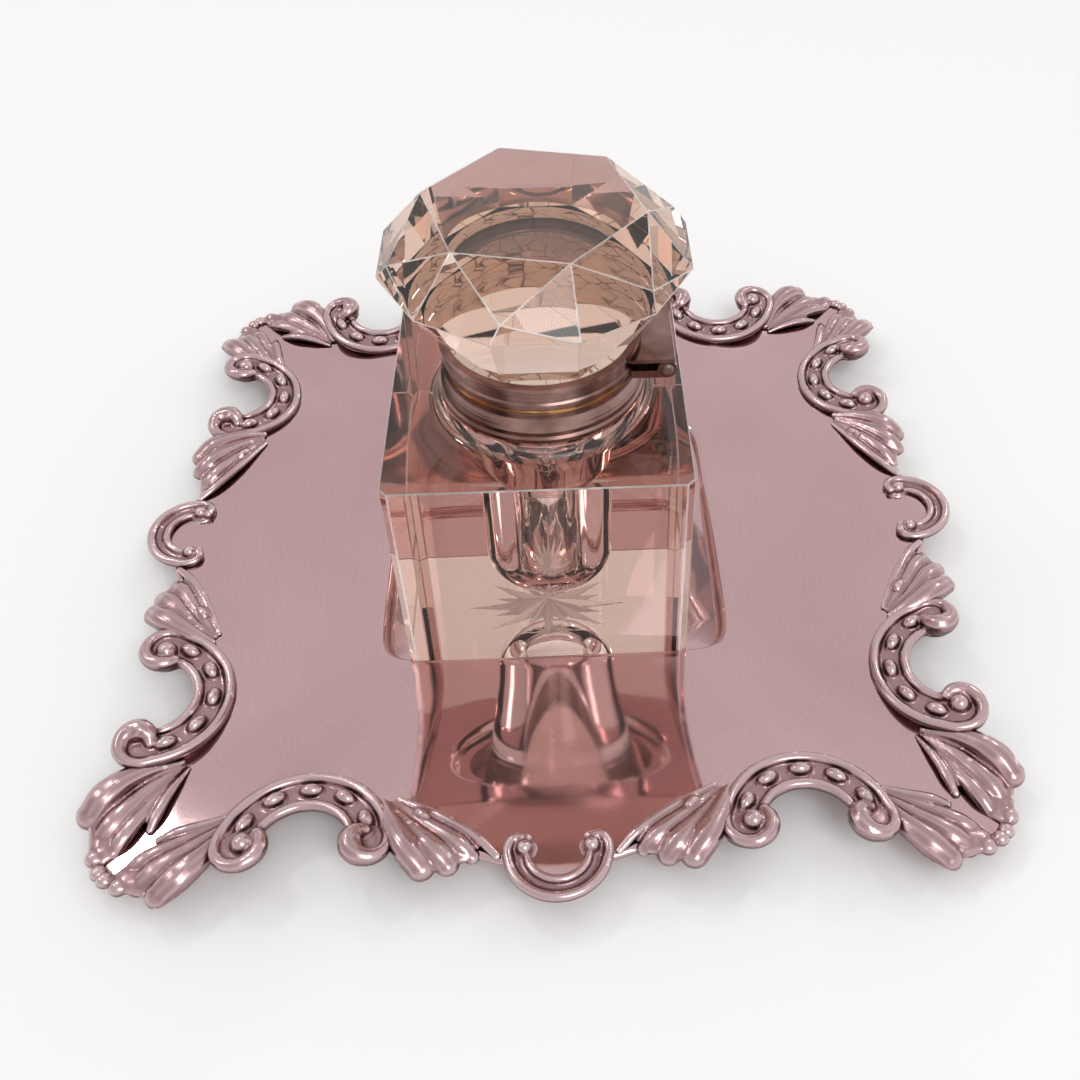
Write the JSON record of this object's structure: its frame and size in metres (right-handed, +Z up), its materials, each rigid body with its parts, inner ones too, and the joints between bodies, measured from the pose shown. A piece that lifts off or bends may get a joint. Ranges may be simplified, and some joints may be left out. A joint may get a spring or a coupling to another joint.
{
  "type": "desk inkstand",
  "caption": "Square dished silver plate inkstand with scroll and leaf border, holding a loose square cut-glass ink bottle with a hinged faceted glass lid.",
  "frame": {"origin": "centre of the flat underside of the tray's sunken well, on the table", "axes": "+Z up, front of the tray toward -Y, hinge of the lid toward +X"},
  "size_m": [0.1538, 0.1538, 0.0788],
  "materials": {
    "silver_tray": "mirror polished silver plate",
    "silver_relief": "polished silver plate with darkened recesses",
    "collar_metal": "tarnished silver plate",
    "pin_metal": "dull",
    "gilding": "polished gilt",
    "plaster": "matt plaster",
    "bottle_crystal": "clear cut and polished",
    "lid_crystal": "clear cut and polished"
  },
  "bodies": {
    "stand": {"tray": "silver_tray", "scroll_front_left": "silver_relief", "scroll_front_right": "silver_relief", "scroll_right_front": "silver_relief", "scroll_right_back": "silver_relief", "scroll_back_right": "silver_relief", "scroll_back_left": "silver_relief", "scroll_left_back": "silver_relief", "scroll_left_front": "silver_relief", "centre_scroll_front": "silver_relief", "centre_scroll_right": "silver_relief", "centre_scroll_back": "silver_relief", "centre_scroll_left": "silver_relief", "leaf_front_left": "silver_relief", "leaf_front_right": "silver_relief", "leaf_right_front": "silver_relief", "leaf_right_back": "silver_relief", "leaf_back_right": "silver_relief", "leaf_back_left": "silver_relief", "leaf_left_back": "silver_relief", "leaf_left_front": "silver_relief", "corner_leaf_front_left": "silver_relief", "corner_leaf_front_right": "silver_relief", "corner_leaf_right_front": "silver_relief", "corner_leaf_right_back": "silver_relief", "corner_leaf_back_right": "silver_relief", "corner_leaf_back_left": "silver_relief", "corner_leaf_left_back": "silver_relief", "corner_leaf_left_front": "silver_relief"},
    "bottle": {"bottle_glass": "bottle_crystal", "collar_cement": "plaster", "collar": "collar_metal", "gilt_lip": "gilding", "hinge_pin": "pin_metal"},
    "lid": {"lid_ring": "collar_metal", "lid_cement": "plaster", "lid_glass": "lid_crystal"}
  },
  "joints": [
    {"name": "bottle_lift", "type": "slide", "parent": "stand", "child": "bottle", "axis": [0, 0, 1], "range_m": [0, 0.08]},
    {"name": "lid_hinge", "type": "hinge", "parent": "bottle", "child": "lid", "pos_m": [0.0198, -0.0046, 0.05172], "axis": [0, 1, 0], "range_deg": [0, 100]}
  ]
}
